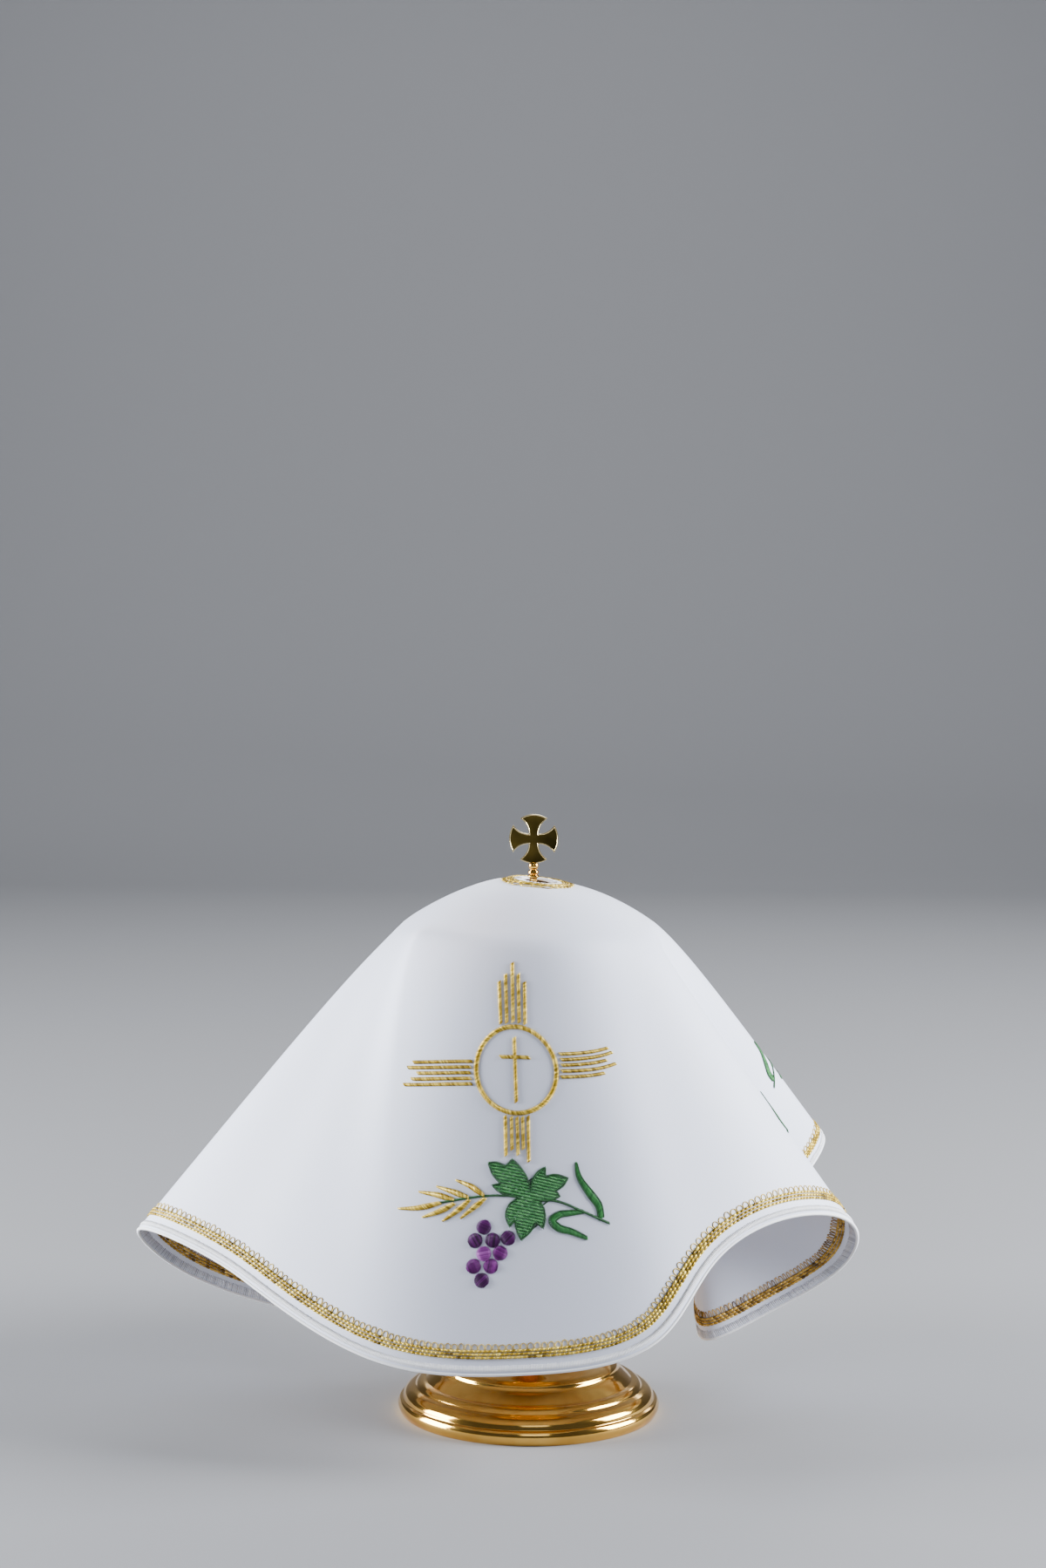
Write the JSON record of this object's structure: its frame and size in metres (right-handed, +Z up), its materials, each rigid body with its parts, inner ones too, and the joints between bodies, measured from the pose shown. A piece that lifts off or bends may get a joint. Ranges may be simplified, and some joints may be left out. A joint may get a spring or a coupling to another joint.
{
  "type": "ciborium veil on ciborium",
  "caption": "White round cloth veil with gold-stitched hem, draped in uneven folds over a closed gilt ciborium whose cross finial stands through its neck hole.",
  "frame": {"origin": "centre of the foot's flat underside, which stands on the table", "axes": "+Z up along the ciborium's axis, -Y towards the front of the veil with the embroidery, +X to the viewer's right of the front"},
  "size_m": [0.3629, 0.3178, 0.304],
  "materials": {
    "veil_white": "matt white cloth with a soft sheen",
    "gilt_metal": "polished gilt"
  },
  "bodies": {
    "root": {"veil_cloth": "veil_white", "ciborium_foot": "gilt_metal", "ciborium_knop": "gilt_metal", "ciborium_bowl": "gilt_metal", "ciborium_lid": "gilt_metal", "finial_baluster": "gilt_metal", "finial_cross": "gilt_metal"}
  },
  "joints": []
}
